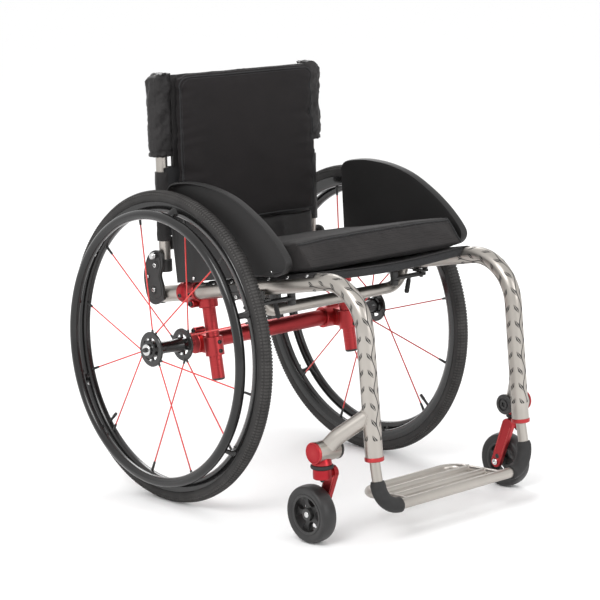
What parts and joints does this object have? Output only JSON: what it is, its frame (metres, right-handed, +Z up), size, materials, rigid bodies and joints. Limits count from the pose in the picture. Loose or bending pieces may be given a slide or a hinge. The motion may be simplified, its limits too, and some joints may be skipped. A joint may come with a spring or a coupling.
{
  "type": "manual wheelchair",
  "caption": "Rigid-frame manual wheelchair with tubular frame, cambered spoked rear wheels with handrims, swivel casters, seat cushion, folding padded back and wheel locks.",
  "frame": {"origin": "on the floor, under the middle of the bounding box", "axes": "+Z up, front of the chair toward -Y, the chair's left side toward +X"},
  "size_m": [0.6122, 0.8178, 0.803],
  "materials": {
    "titanium": "satin, warm grey",
    "red_anodised": "satin anodised",
    "spoke_red": "semi-gloss",
    "black_fabric": "woven nylon",
    "black_mesh": "spacer mesh",
    "black_metal": "satin",
    "gloss_black": "gloss",
    "guard_plastic": "matte",
    "black_plastic": "satin",
    "black_rubber": "matte",
    "tyre_rubber": "matte, dark grey",
    "bright_steel": "polished"
  },
  "bodies": {
    "frame": {"seat_cross_tube": "titanium", "footrest_frame": "titanium", "camber_tube": "red_anodised", "seat_sling": "black_fabric", "seat_cushion": "black_mesh", "right_side_tube": "titanium", "right_footrest_collar": "red_anodised", "right_bend_protector": "black_rubber", "right_caster_arm": "titanium", "right_barrel_cap": "red_anodised", "right_barrel_plug": "black_plastic", "right_stem_housing": "red_anodised", "right_axle_clamp": "red_anodised", "right_axle_post": "red_anodised", "right_camber_clamp": "red_anodised", "right_side_guard": "guard_plastic", "right_back_bracket": "black_metal", "right_lock_clamp": "black_metal", "right_axle_pin": "bright_steel", "left_side_tube": "titanium", "left_footrest_collar": "red_anodised", "left_bend_protector": "black_rubber", "left_caster_arm": "titanium", "left_barrel_cap": "red_anodised", "left_barrel_plug": "black_plastic", "left_stem_housing": "red_anodised", "left_axle_clamp": "red_anodised", "left_axle_post": "red_anodised", "left_camber_clamp": "red_anodised", "left_side_guard": "guard_plastic", "left_back_bracket": "black_metal", "left_lock_clamp": "black_metal", "left_axle_pin": "bright_steel"},
    "backrest": {"rigidizer_bar": "black_metal", "back_upholstery": "black_fabric", "back_cushion": "black_mesh", "right_back_cane": "titanium", "left_back_cane": "titanium"},
    "right_wheel": {"right_tyre": "tyre_rubber", "right_rim": "gloss_black", "right_hub": "spoke_red", "right_handrim": "gloss_black"},
    "right_axle_release": {"right_axle_button": "black_plastic"},
    "right_latch": {"right_latch_pin": "bright_steel"},
    "right_caster_fork": {"right_caster_fork": "red_anodised"},
    "right_caster_wheel": {"right_caster_tyre": "black_rubber", "right_caster_core": "black_plastic"},
    "right_lock": {"right_lock_lever": "black_metal"},
    "left_wheel": {"left_tyre": "tyre_rubber", "left_rim": "gloss_black", "left_hub": "spoke_red", "left_handrim": "gloss_black"},
    "left_axle_release": {"left_axle_button": "black_plastic"},
    "left_latch": {"left_latch_pin": "bright_steel"},
    "left_caster_fork": {"left_caster_fork": "red_anodised"},
    "left_caster_wheel": {"left_caster_tyre": "black_rubber", "left_caster_core": "black_plastic"},
    "left_lock": {"left_lock_lever": "black_metal"}
  },
  "joints": [
    {"name": "backrest_fold", "type": "hinge", "parent": "frame", "child": "backrest", "pos_m": [0, 0.19087, 0.43697], "axis": [1, 0, 0], "range_deg": [0, 21]},
    {"name": "right_wheel_spin", "type": "hinge", "parent": "frame", "child": "right_wheel", "pos_m": [-0.25, 0.11388, 0.29483], "axis": [0.9994, 0, -0.0349], "continuous": true},
    {"name": "right_axle_release", "type": "slide", "parent": "frame", "child": "right_axle_release", "axis": [0.9994, 0, -0.0349], "range_m": [0, 0.004], "stiffness_N_per_m": 300},
    {"name": "right_latch", "type": "slide", "parent": "frame", "child": "right_latch", "axis": [-1, 0, 0], "range_m": [0, 0.005], "stiffness_N_per_m": 300},
    {"name": "right_caster_swivel", "type": "hinge", "parent": "frame", "child": "right_caster_fork", "pos_m": [-0.25, -0.31312, 0.13], "axis": [0, 0, 1], "continuous": true},
    {"name": "right_caster_spin", "type": "hinge", "parent": "right_caster_fork", "child": "right_caster_wheel", "pos_m": [-0.25, -0.28313, 0.052], "axis": [1, 0, 0], "continuous": true},
    {"name": "right_lock", "type": "hinge", "parent": "frame", "child": "right_lock", "pos_m": [-0.204, -0.10812, 0.399], "axis": [0, 0, -1], "range_deg": [0, 112]},
    {"name": "left_wheel_spin", "type": "hinge", "parent": "frame", "child": "left_wheel", "pos_m": [0.25, 0.11388, 0.29483], "axis": [0.9994, 0, 0.0349], "continuous": true},
    {"name": "left_axle_release", "type": "slide", "parent": "frame", "child": "left_axle_release", "axis": [-0.9994, 0, -0.0349], "range_m": [0, 0.004], "stiffness_N_per_m": 300},
    {"name": "left_latch", "type": "slide", "parent": "frame", "child": "left_latch", "axis": [1, 0, 0], "range_m": [0, 0.005], "stiffness_N_per_m": 300},
    {"name": "left_caster_swivel", "type": "hinge", "parent": "frame", "child": "left_caster_fork", "pos_m": [0.25, -0.31312, 0.13], "axis": [0, 0, 1], "continuous": true},
    {"name": "left_caster_spin", "type": "hinge", "parent": "left_caster_fork", "child": "left_caster_wheel", "pos_m": [0.25, -0.28313, 0.052], "axis": [1, 0, 0], "continuous": true},
    {"name": "left_lock", "type": "hinge", "parent": "frame", "child": "left_lock", "pos_m": [0.204, -0.10812, 0.399], "axis": [0, 0, 1], "range_deg": [0, 112]}
  ]
}
